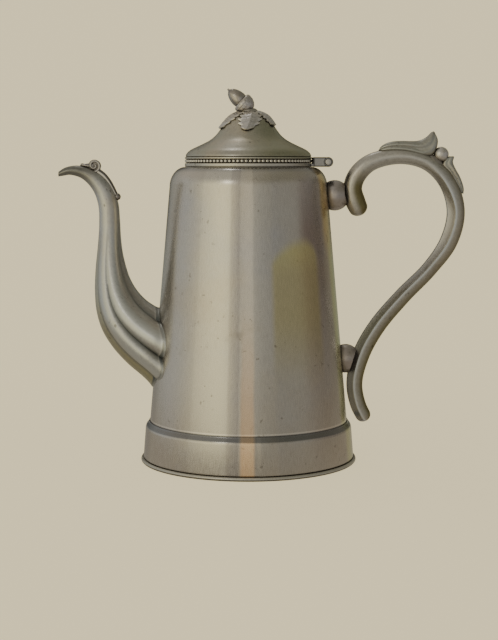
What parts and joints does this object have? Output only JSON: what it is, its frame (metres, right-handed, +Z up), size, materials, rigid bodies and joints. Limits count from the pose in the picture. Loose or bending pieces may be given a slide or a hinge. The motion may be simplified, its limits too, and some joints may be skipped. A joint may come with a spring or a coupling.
{
  "type": "coffee pot",
  "caption": "Tall tapered coffee pot with a fluted swan-neck spout, a scroll handle and a hinged domed lid with a beaded rim, oak leaves and an acorn finial.",
  "frame": {"origin": "on the body's axis at the surface that the pot stands on", "axes": "+Z is up, -X is the way the spout points, +X is towards the handle, Y runs along the lid's hinge"},
  "size_m": [0.2905, 0.156, 0.267],
  "materials": {
    "satin_silver": "old spun silver, satin, with soft reflections and faint tarnish",
    "cast_silver": "cast silver, satin, darker in the creases",
    "ornament_silver": "chased silver with dark recesses and worn high spots",
    "inner_silver": "dull unpolished silver with coffee stains",
    "hinge_silver": "rubbed bright silver"
  },
  "bodies": {
    "pot": {"body_shell": "satin_silver", "mouth_collar": "satin_silver", "bottom_plate": "inner_silver", "base_band": "satin_silver", "foot_wire": "satin_silver", "spout_front_half": "cast_silver", "spout_back_half": "cast_silver", "spout_scroll": "ornament_silver", "spout_strap": "ornament_silver", "handle_front_half": "cast_silver", "handle_back_half": "cast_silver", "upper_ball_boss": "cast_silver", "lower_ball_boss": "cast_silver", "thumb_leaf": "ornament_silver", "handle_bead": "ornament_silver", "handle_leaf": "ornament_silver", "hinge_body_leaf": "hinge_silver", "hinge_pin": "hinge_silver"},
    "lid": {"hinge_lid_leaf": "hinge_silver", "lid_dome": "satin_silver", "lid_bead_band": "ornament_silver", "lid_inner_flange": "inner_silver", "oak_leaf_mount": "ornament_silver", "acorn_cup": "ornament_silver", "acorn_nut": "ornament_silver", "finial_stud": "hinge_silver", "finial_nut": "hinge_silver"}
  },
  "joints": [
    {"name": "lid_hinge", "type": "hinge", "parent": "pot", "child": "lid", "pos_m": [0.0564, 0, 0.2151], "axis": [0, 1, 0], "range_deg": [0, 105]}
  ]
}
